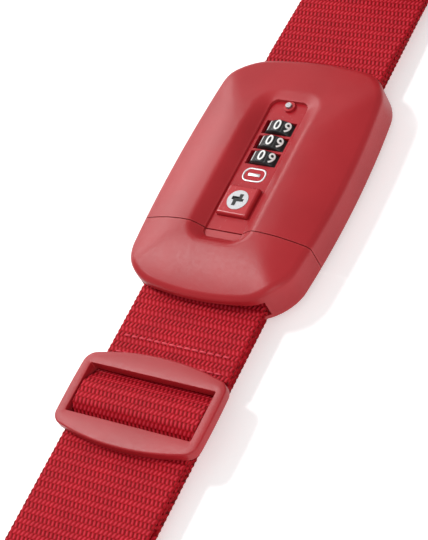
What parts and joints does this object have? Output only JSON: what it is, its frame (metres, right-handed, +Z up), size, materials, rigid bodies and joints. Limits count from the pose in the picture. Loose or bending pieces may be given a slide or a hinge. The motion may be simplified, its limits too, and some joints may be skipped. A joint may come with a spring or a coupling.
{
  "type": "luggage strap",
  "caption": "Wide webbing luggage strap with a combination-lock buckle and a slider, laid flat with its spare belt doubled back and rolled.",
  "frame": {"origin": "centre of the bounding box at the underside, where the belt lies on the table", "axes": "+X along the belt towards the far end of the lock, +Y across the belt, +Z up"},
  "size_m": [0.3151, 0.0674, 0.05],
  "materials": {
    "belt_webbing": "coarse ribbed polyester webbing",
    "belt_thread": "polyester sewing thread",
    "shell_plastic": "satin fine-grained moulded plastic",
    "trim_plastic": "glossier moulded plastic",
    "inner_plastic": "plain moulded plastic",
    "wheel_plastic": "black moulded plastic with printed numbers",
    "key_metal": "satin turned metal",
    "steel": "plain steel",
    "zinc": "die-cast metal"
  },
  "bodies": {
    "lock": {"lock_top_shell": "shell_plastic", "lock_base": "shell_plastic", "lock_screws": "steel", "lock_strap_bar": "steel", "wheel_spindle": "steel", "detent_spring": "steel", "face_plate": "trim_plastic", "button_springs": "steel", "reset_spring": "steel", "catch_spring": "steel", "spindle_spring": "steel", "catch_pin": "steel", "belt_lock_loop": "belt_webbing", "belt_roll": "belt_webbing", "belt_return_far": "belt_webbing"},
    "plug": {"plug_top_shell": "shell_plastic", "plug_base": "shell_plastic", "plug_screws": "steel", "plug_strap_bar": "steel", "plug_tongue": "steel", "belt_end_fold": "belt_webbing", "fold_stitching": "belt_thread", "belt_upper_run": "belt_webbing", "belt_lower_run": "belt_webbing", "belt_turn_outer": "belt_webbing", "belt_turn_inner": "belt_webbing", "belt_return_near": "belt_webbing"},
    "slider": {"slider_frame": "shell_plastic", "belt_through_slider": "belt_webbing", "belt_sewn_end": "belt_webbing"},
    "wheel_1": {"dial_wheel_1": "wheel_plastic", "clutch_sleeve_1": "zinc"},
    "wheel_2": {"dial_wheel_2": "wheel_plastic", "clutch_sleeve_2": "zinc"},
    "wheel_3": {"dial_wheel_3": "wheel_plastic", "clutch_sleeve_3": "zinc"},
    "button": {"release_button": "trim_plastic"},
    "key": {"key_cylinder": "key_metal", "cylinder_cam": "zinc"},
    "reset": {"reset_pin": "key_metal"},
    "catch": {"catch_rocker": "zinc"}
  },
  "joints": [
    {"name": "plug_release", "type": "slide", "parent": "lock", "child": "plug", "axis": [-1, 0, 0], "range_m": [0, 0.035]},
    {"name": "slider_adjust", "type": "slide", "parent": "plug", "child": "slider", "axis": [-1, 0, 0], "range_m": [0, 0.025], "deforming": ["belt_upper_run", "belt_lower_run"]},
    {"name": "wheel_1_turn", "type": "hinge", "parent": "lock", "child": "wheel_1", "pos_m": [0.01398, 0, 0.0109], "axis": [1, 0, 0], "continuous": true},
    {"name": "wheel_2_turn", "type": "hinge", "parent": "lock", "child": "wheel_2", "pos_m": [0.02074, 0, 0.0109], "axis": [1, 0, 0], "continuous": true},
    {"name": "wheel_3_turn", "type": "hinge", "parent": "lock", "child": "wheel_3", "pos_m": [0.0275, 0, 0.0109], "axis": [1, 0, 0], "continuous": true},
    {"name": "button_press", "type": "slide", "parent": "lock", "child": "button", "axis": [0, 0, -1], "range_m": [0, 0.0012], "stiffness_N_per_m": 400, "deforming": ["button_springs"]},
    {"name": "key_turn", "type": "hinge", "parent": "button", "child": "key", "pos_m": [-0.0053, 0, 0.015], "axis": [0, 0, 1], "range_deg": [0, 90]},
    {"name": "reset_press", "type": "slide", "parent": "lock", "child": "reset", "axis": [0, 0, -1], "range_m": [0, 0.001], "stiffness_N_per_m": 300, "deforming": ["reset_spring"]},
    {"name": "catch_lift", "type": "hinge", "parent": "lock", "child": "catch", "pos_m": [-0.001, 0, 0.0103], "axis": [0, -1, 0], "range_deg": [0, 9], "deforming": ["catch_spring"]}
  ],
  "couplings": [
    {"joint": "catch_lift", "follows": "button_press", "rad_per_m": 125}
  ]
}
